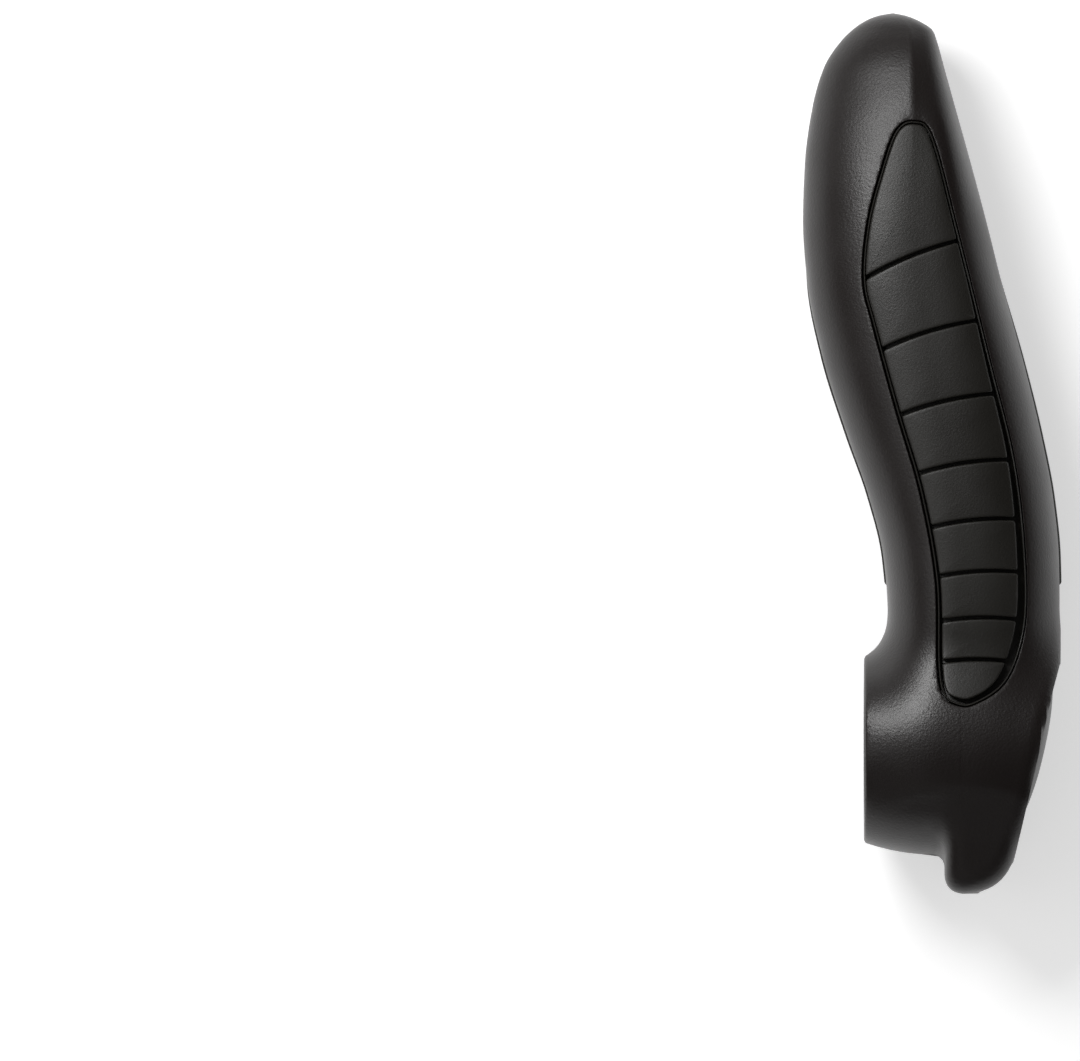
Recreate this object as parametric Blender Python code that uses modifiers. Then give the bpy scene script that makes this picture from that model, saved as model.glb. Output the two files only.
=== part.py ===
import math

import bmesh
import bpy
import numpy as np

MM = 0.001

# Frame: +X runs outboard along the handlebar, +Y forward along the horn, +Z up.
# The origin is on the handlebar's axis, where the bar's end stops against the end cap.
# All sizes below are in millimetres and degrees.

BAR_DIAMETER = 22.2
BORE_CLEARANCE = 0.1
SEAT_GAP = 0.3

# Clamp collar
COLLAR_RADIUS = 16.5
COLLAR_LENGTH = 22.2
SHOULDER_LENGTH = 5.0
SHOULDER_DROP = 0.8
END_FACE_X = 5.5
END_FACE_TILT = 12.8
END_FACE_FRONT_Y = 9.6
COLLAR_EDGE_BLEND = 2.4
HORN_TO_COLLAR_BLEND = 6.0

# Slit and clamp lobe
SLIT_HEIGHT = 2.0
LOBE_INBOARD_X = -9.4
LOBE_OUTBOARD_X = 1.8
LOBE_BEHIND_COLLAR = 6.3
LOBE_BELOW_COLLAR_TOP = 5.5
LOBE_ABOVE_COLLAR_BOTTOM = 8.7
LOBE_CORNER = 7.2
LOBE_TOP_EDGE = 2.4

# Clamp bolt, washer and nut
BOLT_DIAMETER = 5.0
BOLT_BELOW_LOBE_TOP = 2.4
BOLT_HEAD_DIAMETER = 8.5
BOLT_HEAD_HEIGHT = 5.0
BOLT_KEY = 4.0
BOLT_KEY_DEPTH = 2.5
BOLT_FROM_LOBE_REAR = 6.0
BOLT_INBOARD_OF_MIDDLE = 0.4
WASHER_DIAMETER = 10.0
WASHER_THICKNESS = 1.0
NUT_ACROSS_FLATS = 8.0
NUT_HEIGHT = 4.0
NUT_BELOW_TIP = 4.7

# End cap
CAP_RADIUS = 10.2
CAP_SEAT_DEPTH = 1.6
CAP_DOME_RISE = 0.9
SPIGOT_RADIUS = 9.2

# Grip inlays
INLAY_DEPTH = 2.2
INLAY_GROOVE_DEPTH = 1.0
INLAY_EDGE_GAP = 1.05
INLAY_PADS_INBOARD = 0.35
INLAY_GROOVE_WIDTH = 0.9
INLAY_GROOVES = 8
UNDER_INLAY_PROUD = 0.4

# Horn: y, inboard x, outboard x, top z, bottom z, crest x. The last row is the tip.
HORN = (
    (-6.0, -18.0, 4.7, 13.0, -13.0, -7.1),
    (6.0, -18.2, 7.4, 13.4, -13.4, -7.1),
    (14.0, -18.3, 8.8, 13.6, -13.6, -7.1),
    (22.0, -18.4, 8.9, 13.7, -13.6, -6.9),
    (31.0, -19.2, 8.7, 13.6, -13.4, -7.0),
    (40.0, -21.4, 7.8, 13.3, -13.4, -8.0),
    (50.0, -24.9, 5.9, 12.8, -13.7, -9.8),
    (62.0, -28.7, 3.0, 12.1, -14.2, -11.9),
    (74.0, -31.2, -0.3, 11.3, -14.7, -13.5),
    (84.0, -31.9, -2.8, 10.5, -15.1, -14.3),
    (93.0, -31.6, -5.2, 9.5, -15.3, -14.5),
    (102.0, -30.4, -7.7, 8.0, -14.9, -14.6),
    (108.5, -28.5, -9.5, 6.0, -13.4, -14.6),
    (112.5, -25.9, -10.7, 3.9, -11.6, -14.8),
    (115.4, -22.6, -12.7, 1.2, -8.9, -15.6),
    (116.6, -19.9, -15.0, -1.4, -6.4, -17.0),
    (117.0, -17.6, -17.6, -4.0, -4.0, -17.6),
)

# Crest sharpness along the horn: y and the power of the section's rounding, 2 being an ellipse
CREST = ((-6.0, 2.4), (30.0, 2.3), (80.0, 2.1), (98.0, 1.75), (112.0, 1.6), (117.0, 1.8))

# Outline of the top inlay's pocket: x and y, anticlockwise from the tip
TOP_POCKET = (
    (-14.4, 99.9),
    (-17.4, 98.3),
    (-19.8, 91.7),
    (-21.9, 83.5),
    (-22.6, 74.5),
    (-21.0, 67.3),
    (-17.3, 53.7),
    (-13.6, 41.0),
    (-11.1, 27.0),
    (-10.8, 13.5),
    (-10.0, 8.9),
    (-8.0, 7.2),
    (-4.8, 7.2),
    (0.4, 11.0),
    (3.3, 19.5),
    (3.4, 31.0),
    (1.7, 46.0),
    (-2.2, 62.0),
    (-7.3, 82.5),
    (-11.3, 97.4),
)

# Cross grooves of the top inlay: y where the first meets each side, its distance to the next,
# and how much each distance grows
GROOVES_INBOARD = (14.1, 6.4, 1.10)
GROOVES_OUTBOARD = (13.7, 6.9, 1.107)
GROOVE_SIDE_X = ((-9.5, 14.1), (-10.5, 27.5), (-13.8, 43.5), (-19.4, 63.0), (-22.1, 74.6))
GROOVE_ARCH = 0.5

# Side outline of the under inlay's pocket: y and z of its upper edge, rear to front
UNDER_EDGE = (
    (25.8, -0.9),
    (38.0, -1.3),
    (52.0, -2.0),
    (66.0, -3.2),
    (80.0, -5.6),
    (90.0, -8.8),
    (96.5, -12.0),
    (100.5, -17.0),
)
UNDER_PITCH = 7.6
UNDER_GROOVE_MARGIN = 4.5

AROUND = 40
TIP_Y = HORN[-1][0]
END_FACE_SLOPE = math.tan(math.radians(END_FACE_TILT))
BORE_RADIUS = BAR_DIAMETER / 2 + BORE_CLEARANCE
LOBE_REAR_Y = -COLLAR_RADIUS - LOBE_BEHIND_COLLAR
LOBE_TOP_Z = COLLAR_RADIUS - LOBE_BELOW_COLLAR_TOP
LOBE_BOTTOM_Z = LOBE_ABOVE_COLLAR_BOTTOM - COLLAR_RADIUS
BOLT_X = (LOBE_INBOARD_X + LOBE_OUTBOARD_X) / 2 - BOLT_INBOARD_OF_MIDDLE
BOLT_Y = LOBE_REAR_Y + BOLT_FROM_LOBE_REAR
WASHER_TOP_Z = LOBE_BOTTOM_Z - SEAT_GAP
BOLT_HEAD_TOP_Z = WASHER_TOP_Z - WASHER_THICKNESS - SEAT_GAP
BOLT_TIP_Z = LOBE_TOP_Z - BOLT_BELOW_LOBE_TOP
NUT_BOTTOM_Z = BOLT_TIP_Z - NUT_BELOW_TIP
BOLT_HOLE_RADIUS = BOLT_DIAMETER / 2 + SEAT_GAP
NUT_TURN = math.pi / 6


def clear_scene():
    for item in list(bpy.data.objects):
        bpy.data.objects.remove(item, do_unlink=True)


def make_collection(name):
    group = bpy.data.collections.new(name)
    bpy.context.scene.collection.children.link(group)
    return group


def make_material(name, colour, roughness, metallic):
    material = bpy.data.materials.new(name)
    material.use_nodes = True
    shader = material.node_tree.nodes["Principled BSDF"]
    shader.inputs["Base Color"].default_value = (*colour, 1.0)
    shader.inputs["Roughness"].default_value = roughness
    shader.inputs["Metallic"].default_value = metallic
    material.diffuse_color = (*colour, 1.0)
    return material


def curve_through(rows, column, at):
    """Smooth curve through one column of a table that never overshoots its rows."""
    x = np.array([row[0] for row in rows], float)
    v = np.array([row[column] for row in rows], float)
    step = np.diff(x)
    slope = np.diff(v) / step
    tangent = np.zeros(len(x))
    tangent[0] = slope[0]
    tangent[-1] = slope[-1]
    for i in range(1, len(x) - 1):
        if slope[i - 1] * slope[i] > 0:
            before = 2 * step[i] + step[i - 1]
            after = step[i] + 2 * step[i - 1]
            tangent[i] = (before + after) / (before / slope[i - 1] + after / slope[i])
    at = np.clip(at, x[0], x[-1])
    i = np.clip(np.searchsorted(x, at, side="right") - 1, 0, len(x) - 2)
    t = (at - x[i]) / step[i]
    return (
        (2 * t**3 - 3 * t**2 + 1) * v[i]
        + (t**3 - 2 * t**2 + t) * step[i] * tangent[i]
        + (3 * t**2 - 2 * t**3) * v[i + 1]
        + (t**3 - t**2) * step[i] * tangent[i + 1]
    )


def blend(a, b, reach):
    """Union of two distances with a fillet where they meet. A negative reach gives a rounded intersection."""
    overlap = np.maximum(abs(reach) - abs(a - b), 0.0) / abs(reach)
    if reach < 0:
        return np.maximum(a, b) - overlap**2 * reach / 4
    return np.minimum(a, b) - overlap**2 * reach / 4


def horn_distance(x, y, z):
    inboard, outboard, top, bottom, crest = (curve_through(HORN, i, y) for i in range(1, 6))
    middle = (top + bottom) / 2
    height = np.maximum((top - bottom) / 2, 0.02)
    width = np.maximum(np.where(x < crest, crest - inboard, outboard - crest), 0.02)
    power = curve_through(CREST, 1, y)
    across = np.where(z > middle, power, 2.3)
    reach = (abs(x - crest) / width) ** across + (abs(z - middle) / height) ** 2.2
    return np.maximum((reach ** (1 / 2.2) - 1) * np.minimum(height, width), -3.0 - y)


def collar_distance(x, y, z):
    fall = np.clip((SHOULDER_LENGTH - COLLAR_LENGTH - x) / SHOULDER_LENGTH, 0.0, 1.2)
    barrel = np.sqrt(y**2 + z**2) - (COLLAR_RADIUS - SHOULDER_DROP * fall**2)
    outboard = (x - END_FACE_X - END_FACE_SLOPE * y) * math.cos(math.radians(END_FACE_TILT)) - 0.3
    shape = blend(barrel, outboard, -COLLAR_EDGE_BLEND)
    return np.maximum(shape, -x - COLLAR_LENGTH - 0.8)


def body_distance(x, y, z):
    whole = blend(horn_distance(x, y, z), collar_distance(x, y, z), HORN_TO_COLLAR_BLEND)
    flank = x - curve_through(HORN, 2, y)
    return np.where(y < 30.0, blend(whole, flank, -1.0) - 0.12, whole)


def ring(y, depth, around):
    """Points of the section at y, this deep under the body's skin, anticlockwise seen from the front."""
    angle = 2 * math.pi * np.arange(around) / around
    crest = float(curve_through(HORN, 5, y))
    nearness = float(np.clip((24.0 - y) / 16.0, 0.0, 1.0))
    spread = 0.3 + 0.45 * nearness
    inboard = float(curve_through(HORN, 1, y)) - 4.2 * nearness
    outboard = float(curve_through(HORN, 2, y))
    if y < -6.0:
        outboard = END_FACE_X + END_FACE_SLOPE * y
    middle = float(curve_through(HORN, 3, y) + curve_through(HORN, 4, y)) / 2
    middle = middle if y > 0 else 0.0
    side = np.where(np.cos(angle) < 0, crest - inboard, outboard - crest)
    start_x = crest + spread * side * np.cos(angle)
    low = np.zeros(around)
    high = np.full(around, 45.0)
    for _ in range(40):
        half = (low + high) / 2
        x = start_x + half * np.cos(angle)
        z = middle + half * np.sin(angle)
        inside = body_distance(x, np.full(around, y), z) < -depth
        low = np.where(inside, half, low)
        high = np.where(inside, high, half)
    return np.column_stack((start_x + low * np.cos(angle), np.full(around, y), middle + low * np.sin(angle)))


def skin_stations(depth, rear, front):
    turn = np.radians(np.array([0.0, 12.0, 25.0, 38.0, 50.0, 62.0, 73.0, 82.0]))
    behind = -COLLAR_RADIUS * np.sin(turn)[::-1]
    shut = -math.sqrt(COLLAR_RADIUS**2 - (0.45 * SLIT_HEIGHT) ** 2)
    along = np.arange(3.2, TIP_Y - 17.0, 3.2)
    tip = TIP_Y - np.array([15.0, 12.2, 9.6, 7.3, 5.3, 3.6, 2.3, 1.3, 0.6, 0.2])
    all_y = np.concatenate(([shut], behind, along, tip))
    reach = TIP_Y - 1.6 * depth
    kept = all_y[(all_y > rear + 0.6) & (all_y < min(front, reach) - 0.6)]
    ends = [shut] if rear <= shut else [rear]
    last = [min(front, reach) - 0.2] if front >= reach else [front]
    return np.concatenate((ends, kept[kept > ends[0]], last))


def make_skin(name, group, depth=0.0, rear=-99.0, front=999.0, around=AROUND):
    """Closed loft of the body's sections between two y values, this deep under its skin, in triangles."""
    stations = skin_stations(depth, rear, front)
    points = np.concatenate([ring(y, depth, around) for y in stations])
    faces = []
    for i in range(len(stations) - 1):
        for j in range(around):
            a = i * around + j
            b = i * around + (j + 1) % around
            faces.append((a, b, b + around))
            faces.append((a, b + around, a + around))
    faces.append(tuple(range(around - 1, -1, -1)))
    faces.append(tuple(range(len(points) - around, len(points))))
    return make_mesh(name, group, points, faces)


def make_mesh(name, group, points, faces):
    mesh = bpy.data.meshes.new(name)
    mesh.from_pydata([tuple(MM * float(v) for v in point) for point in points], [], faces)
    work = bmesh.new()
    work.from_mesh(mesh)
    bmesh.ops.recalc_face_normals(work, faces=work.faces)
    work.to_mesh(mesh)
    work.free()
    return add_object(name, group, mesh)


def add_object(name, group, data):
    item = bpy.data.objects.new(name, data)
    group.objects.link(item)
    return item


def add_prism(name, group, loops, low, high, axis="Z"):
    """Flat outlines extruded from low to high. Each is x, y for Z, or y, z for X."""
    curve = bpy.data.curves.new(name, "CURVE")
    curve.dimensions = "2D"
    curve.fill_mode = "BOTH"
    curve.extrude = MM * (high - low) / 2
    for loop in loops:
        line = curve.splines.new("POLY")
        line.points.add(len(loop) - 1)
        for point, (a, b) in zip(line.points, loop):
            point.co = (MM * a, MM * b, 0.0, 1.0)
        line.use_cyclic_u = True
    item = add_object(name, group, curve)
    mesh = bpy.data.meshes.new_from_object(item)
    bpy.data.objects.remove(item, do_unlink=True)
    bpy.data.curves.remove(curve)
    work = bmesh.new()
    work.from_mesh(mesh)
    bmesh.ops.remove_doubles(work, verts=work.verts, dist=0.00001)
    bmesh.ops.translate(work, verts=work.verts, vec=(0.0, 0.0, MM * (high + low) / 2))
    if axis == "X":
        for vert in work.verts:
            vert.co = (vert.co.z, vert.co.x, vert.co.y)
    bmesh.ops.recalc_face_normals(work, faces=work.faces)
    work.to_mesh(mesh)
    work.free()
    return add_object(name, group, mesh)


def add_turned(name, group, profile, steps):
    """Profile of (radius, height) points turned about its own Z axis, top first and down the outer side."""
    mesh = bpy.data.meshes.new(name)
    points = [(MM * radius, 0.0, MM * height) for radius, height in profile]
    mesh.from_pydata(points, [(i, i + 1) for i in range(len(points) - 1)], [])
    item = add_object(name, group, mesh)
    screw = item.modifiers.new("Turn", "SCREW")
    screw.axis = "Z"
    screw.steps = steps
    screw.render_steps = steps
    screw.use_merge_vertices = True
    screw.merge_threshold = 0.00001
    screw.use_smooth_shade = True
    return item


def add_disc(name, group, radius, low, high, steps=48):
    """Straight cylinder on its own Z axis."""
    mesh = bpy.data.meshes.new(name)
    work = bmesh.new()
    bmesh.ops.create_cone(
        work,
        cap_ends=True,
        cap_tris=False,
        segments=steps,
        radius1=MM * radius,
        radius2=MM * radius,
        depth=MM * (high - low),
    )
    bmesh.ops.translate(work, verts=work.verts, vec=(0.0, 0.0, MM * (high + low) / 2))
    work.to_mesh(mesh)
    work.free()
    return add_object(name, group, mesh)


def lay_along_x(item):
    """Turns an item's own Z axis to +X."""
    item.rotation_euler = (0.0, math.pi / 2, 0.0)


def boolean(item, other, operation):
    change = item.modifiers.new(operation.title() + " " + other.name, "BOOLEAN")
    change.operation = operation
    change.solver = "EXACT"
    change.object = other
    return change


def smooth_outline(points, pieces):
    """Closed rounded line through a few points."""
    line = []
    count = len(points)
    for i in range(count):
        before, start, end, after = (np.array(points[(i + j) % count]) for j in (-1, 0, 1, 2))
        for k in range(pieces):
            t = k / pieces
            line.append(
                0.5
                * (
                    2 * start
                    + (end - before) * t
                    + (2 * before - 5 * start + 4 * end - after) * t**2
                    + (3 * start - before - 3 * end + after) * t**3
                )
            )
    return np.array(line)


def inset(line, distance):
    """The same closed line moved inwards."""
    ahead = np.roll(line, -1, axis=0) - np.roll(line, 1, axis=0)
    ahead /= np.linalg.norm(ahead, axis=1)[:, None]
    inward = np.column_stack((-ahead[:, 1], ahead[:, 0]))
    return line + distance * inward


def rounded_rectangle(low, high, radii, pieces=6):
    """Corners in order: low x low y, high x low y, high x high y, low x high y."""
    corners = ((low[0], low[1]), (high[0], low[1]), (high[0], high[1]), (low[0], high[1]))
    inward = ((1, 1), (-1, 1), (-1, -1), (1, -1))
    line = []
    for i, ((x, y), (sx, sy), radius) in enumerate(zip(corners, inward, radii)):
        for k in range(pieces + 1):
            turn = math.pi + math.pi / 2 * (i + k / pieces)
            line.append((x + radius * (sx + math.cos(turn)), y + radius * (sy + math.sin(turn))))
    return line


def hexagon(across_flats, turn=0.0):
    corner = across_flats / math.sqrt(3)
    return [
        (corner * math.cos(math.pi / 3 * i + turn), corner * math.sin(math.pi / 3 * i + turn)) for i in range(6)
    ]


def groove_ys():
    """The y of each cross groove at its inboard and its outboard end."""
    rows = []
    left, left_step, left_growth = GROOVES_INBOARD
    right, right_step, right_growth = GROOVES_OUTBOARD
    for _ in range(INLAY_GROOVES):
        rows.append((left, right))
        left += left_step
        right += right_step
        left_step *= left_growth
        right_step *= right_growth
    return rows


def groove_strip(start, end, arch, past=0.0, pieces=6):
    """Outline of one arched groove between two points, both ends carried on past them by a share of its length."""
    start = np.array(start, float)
    end = np.array(end, float)
    along = (end - start) / np.linalg.norm(end - start)
    side = np.array((-along[1], along[0]))
    front = []
    back = []
    for k in range(pieces + 1):
        t = -past + (1 + 2 * past) * k / pieces
        middle = start + (end - start) * t + side * arch * (1 - (2 * t - 1) ** 2)
        front.append(middle + side * INLAY_GROOVE_WIDTH / 2)
        back.append(middle - side * INLAY_GROOVE_WIDTH / 2)
    return back + front[::-1]


def finish(item, material, smooth=True):
    item.data.materials.clear()
    item.data.materials.append(material)
    for face in item.data.polygons:
        face.use_smooth = smooth


def add_top_inlay(parts, cutters, body, outline):
    """Rubber pad set into the horn's top: a full base with raised pads parted by arched grooves."""
    rear = outline[:, 1].min() - 6.0
    front = outline[:, 1].max() + 6.0
    above = COLLAR_RADIUS * 2
    pocket = add_prism("Cut_top_pocket", cutters, [outline], 0.0, above)
    floor = make_skin("Core_top_pocket", cutters, INLAY_DEPTH, rear, front)
    boolean(pocket, floor, "DIFFERENCE")
    boolean(body, pocket, "DIFFERENCE")

    strips = []
    for left, right in groove_ys():
        left_x = float(curve_through([(y, x) for x, y in GROOVE_SIDE_X], 1, np.array(left)))
        strips.append(groove_strip((left_x, left), (left_x + 12.4 + 0.02 * left, right), GROOVE_ARCH, 0.35))
    inlay = add_prism("top_grip_inlay", parts, [inset(outline, SEAT_GAP)], 0.0, above)
    boolean(inlay, make_skin("Face_top_base", cutters, INLAY_GROOVE_DEPTH, rear, front), "INTERSECT")
    raised = inset(outline, INLAY_EDGE_GAP) - np.array((INLAY_PADS_INBOARD, 0.0))
    pads = add_prism("Pads_top", cutters, [raised], 0.5, above - 1.0)
    boolean(pads, make_skin("Face_top_pads", cutters, 0.0, rear, front), "INTERSECT")
    boolean(pads, add_prism("Grooves_top", cutters, strips, -1.0, above), "DIFFERENCE")
    boolean(inlay, pads, "UNION")
    boolean(inlay, make_skin("Core_top_inlay", cutters, INLAY_DEPTH - SEAT_GAP, rear, front), "DIFFERENCE")
    return inlay


def add_under_inlay(parts, cutters, body):
    """Rubber pad wrapped round the horn's underside, standing slightly proud of it."""
    rear = UNDER_EDGE[0][0]
    front = UNDER_EDGE[-1][0]
    edge_y = rear + (front - rear) * np.sin(np.linspace(0.0, math.pi / 2, 16))
    edge = list(zip(edge_y, curve_through(UNDER_EDGE, 1, edge_y)))
    below = -COLLAR_RADIUS * 2
    inboard = min(row[1] for row in HORN) - 10.0
    outboard = max(row[2] for row in HORN) + 10.0
    reach = (rear - 7.0, front + 3.5)
    side = [(rear, below)] + edge + [(front, below)]
    pocket = add_prism("Cut_under_pocket", cutters, [side], inboard, outboard, "X")
    boolean(pocket, make_skin("Core_under_pocket", cutters, INLAY_DEPTH, *reach), "DIFFERENCE")
    boolean(body, pocket, "DIFFERENCE")

    strips = []
    for number in range(INLAY_GROOVES):
        y = rear + UNDER_PITCH * (number + 1)
        left_x = float(curve_through(HORN, 1, y)) + UNDER_GROOVE_MARGIN + 0.04 * (y - rear)
        right_x = float(curve_through(HORN, 2, y)) - UNDER_GROOVE_MARGIN - 0.04 * (y - rear)
        strips.append(groove_strip((left_x, y - 1.2), (right_x, y + 1.2), GROOVE_ARCH * 3))
    # The side outline runs clockwise, so its inset is negative
    inlay = add_prism("under_grip_inlay", parts, [inset(np.array(side), -SEAT_GAP)], inboard, outboard, "X")
    boolean(inlay, make_skin("Face_under_pads", cutters, -UNDER_INLAY_PROUD, *reach), "INTERSECT")
    grooves = add_prism("Grooves_under", cutters, strips, below, 1.0)
    floor_depth = INLAY_GROOVE_DEPTH - UNDER_INLAY_PROUD
    boolean(grooves, make_skin("Face_under_base", cutters, floor_depth, *reach), "DIFFERENCE")
    boolean(inlay, grooves, "DIFFERENCE")
    boolean(inlay, make_skin("Core_under_inlay", cutters, INLAY_DEPTH - SEAT_GAP, *reach), "DIFFERENCE")
    return inlay


def add_lobe(cutters):
    """Clamp lobe behind the collar, carrying the bolt."""
    front = 0.7 - BORE_RADIUS
    plan = rounded_rectangle(
        (LOBE_INBOARD_X, LOBE_REAR_Y), (LOBE_OUTBOARD_X, front), (2.8, LOBE_CORNER, 0.5, 0.5)
    )
    lobe = add_prism("Lobe", cutters, [plan], LOBE_BOTTOM_Z, LOBE_TOP_Z)
    work = bmesh.new()
    work.from_mesh(lobe.data)
    top = [
        edge
        for edge in work.edges
        if all(vert.co.z > MM * (LOBE_TOP_Z - 0.01) and vert.co.y < MM * (front - 1.0) for vert in edge.verts)
        and len(edge.link_faces) == 2
        and edge.calc_face_angle() > 1.0
    ]
    bmesh.ops.bevel(work, geom=top, offset=MM * LOBE_TOP_EDGE, segments=4, profile=0.5, affect="EDGES")
    bmesh.ops.triangulate(work, faces=work.faces)
    work.to_mesh(lobe.data)
    work.free()
    return lobe


def cut_collar(body, cutters):
    """Bore, slit, flat faces, cap seat and the bolt's seats."""
    far = COLLAR_RADIUS * 2
    rim_front = COLLAR_RADIUS + 0.5
    inboard = -COLLAR_LENGTH - far / 2
    rim = ((inboard, -far), (-COLLAR_LENGTH, -far), (-COLLAR_LENGTH, rim_front), (inboard, rim_front))
    boolean(body, add_prism("Cut_rim", cutters, [rim], -far, far), "DIFFERENCE")
    front_x = END_FACE_X + END_FACE_SLOPE * END_FACE_FRONT_Y
    rear_x = END_FACE_X - END_FACE_SLOPE * far
    face = ((rear_x, -far), (far, -far), (far, END_FACE_FRONT_Y), (front_x, END_FACE_FRONT_Y))
    boolean(body, add_prism("Cut_end_face", cutters, [face], -far, far), "DIFFERENCE")

    bore = add_disc("Cut_bore", cutters, BORE_RADIUS, inboard, 0.0, 64)
    lay_along_x(bore)
    boolean(body, bore, "DIFFERENCE")
    seat = add_disc("Cut_cap_seat", cutters, CAP_RADIUS + SEAT_GAP, -CAP_SEAT_DEPTH, 9.0, 48)
    seat.rotation_euler = (0.0, math.pi / 2, math.radians(-END_FACE_TILT))
    seat.location = (MM * END_FACE_X, 0.0, 0.0)
    hole = add_disc("Cut_spigot_hole", cutters, SPIGOT_RADIUS + SEAT_GAP, -1.0, END_FACE_X + 2.5, 48)
    lay_along_x(hole)
    boolean(seat, hole, "UNION")
    boolean(body, seat, "DIFFERENCE")

    slit_front = 3.2 - BORE_RADIUS
    slot = ((inboard, -far), (far, -far), (far, slit_front), (inboard, slit_front))
    slit = add_prism("Cut_slit", cutters, [slot], -SLIT_HEIGHT / 2, SLIT_HEIGHT / 2)
    boolean(body, slit, "DIFFERENCE")

    hole = add_disc("Cut_bolt_hole", cutters, BOLT_HOLE_RADIUS, -far, BOLT_TIP_Z + 2 * SEAT_GAP, 32)
    hole.location = (MM * BOLT_X, MM * BOLT_Y, 0.0)
    boolean(body, hole, "DIFFERENCE")
    spot = add_disc("Cut_washer_seat", cutters, WASHER_DIAMETER / 2 + 0.5, -far, LOBE_BOTTOM_Z + 0.05, 32)
    spot.location = (MM * BOLT_X, MM * BOLT_Y, 0.0)
    boolean(body, spot, "DIFFERENCE")

    low = NUT_BOTTOM_Z - SEAT_GAP
    high = NUT_BOTTOM_Z + NUT_HEIGHT + SEAT_GAP
    pocket = add_prism("Cut_nut_pocket", cutters, [hexagon(NUT_ACROSS_FLATS + 2 * SEAT_GAP, NUT_TURN)], low, high)
    pocket.location = hole.location
    boolean(body, pocket, "DIFFERENCE")


def add_cap(parts, cutters):
    """Plug with a straight spigot and a head set square to the sloping end face."""
    cap = add_disc("end_cap", parts, SPIGOT_RADIUS, 0.0, END_FACE_X + 4.0, 48)
    lay_along_x(cap)
    profile = [(0.0, CAP_DOME_RISE)]
    for turn in (0.3, 0.55, 0.8, 0.93):
        profile.append((CAP_RADIUS * turn, CAP_DOME_RISE * (1 - turn**2.4)))
    profile += [(CAP_RADIUS, -0.15), (CAP_RADIUS, SEAT_GAP - CAP_SEAT_DEPTH), (0.0, SEAT_GAP - CAP_SEAT_DEPTH)]
    head = add_turned("Cap_head", cutters, profile, 48)
    head.rotation_euler = (0.0, math.pi / 2, math.radians(-END_FACE_TILT))
    head.location = (MM * END_FACE_X, 0.0, 0.0)
    top_x = END_FACE_X - CAP_SEAT_DEPTH / 2
    lean = END_FACE_SLOPE * 20.0
    room = ((top_x - lean, -20.0), (30.0, -20.0), (30.0, 20.0), (top_x + lean, 20.0))
    boolean(cap, add_prism("Cut_spigot_top", cutters, [room], -20.0, 20.0), "DIFFERENCE")
    boolean(cap, head, "UNION")
    return cap


def add_bolt(parts, cutters):
    shank = BOLT_DIAMETER / 2
    head = BOLT_HEAD_DIAMETER / 2
    top = BOLT_TIP_Z
    seat = BOLT_HEAD_TOP_Z
    low = BOLT_HEAD_TOP_Z - BOLT_HEAD_HEIGHT
    profile = (
        (0.0, top),
        (shank - 0.6, top),
        (shank, top - 0.6),
        (shank, seat),
        (head, seat),
        (head, low + 0.4),
        (head - 0.4, low),
        (0.0, low),
    )
    bolt = add_turned("clamp_bolt", parts, profile, 32)
    bolt.location = (MM * BOLT_X, MM * BOLT_Y, 0.0)
    socket = add_prism("Cut_key_socket", cutters, [hexagon(BOLT_KEY)], low - 1.0, low + BOLT_KEY_DEPTH)
    socket.location = bolt.location
    boolean(bolt, socket, "DIFFERENCE")
    return bolt


def add_washer(parts):
    outer = WASHER_DIAMETER / 2
    inner = BOLT_HOLE_RADIUS
    low = WASHER_TOP_Z - WASHER_THICKNESS
    profile = ((inner, WASHER_TOP_Z), (outer, WASHER_TOP_Z), (outer, low), (inner, low), (inner, WASHER_TOP_Z))
    washer = add_turned("clamp_washer", parts, profile, 40)
    washer.location = (MM * BOLT_X, MM * BOLT_Y, 0.0)
    return washer


def add_nut(parts, cutters):
    low = NUT_BOTTOM_Z
    high = NUT_BOTTOM_Z + NUT_HEIGHT
    nut = add_prism("clamp_nut", parts, [hexagon(NUT_ACROSS_FLATS, NUT_TURN)], low, high)
    nut.location = (MM * BOLT_X, MM * BOLT_Y, 0.0)
    flat = NUT_ACROSS_FLATS / 2
    profile = (
        (0.0, high + 0.01),
        (flat, high + 0.01),
        (flat + 1.2, high - 0.7),
        (flat + 1.2, low + 0.7),
        (flat, low - 0.01),
        (0.0, low - 0.01),
    )
    cone = add_turned("Nut_chamfer", cutters, profile, 36)
    cone.location = nut.location
    boolean(nut, cone, "INTERSECT")
    hole = add_disc("Cut_nut_hole", cutters, BOLT_HOLE_RADIUS, low - 2.0, high + 2.0, 32)
    hole.location = nut.location
    boolean(nut, hole, "DIFFERENCE")
    return nut


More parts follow.
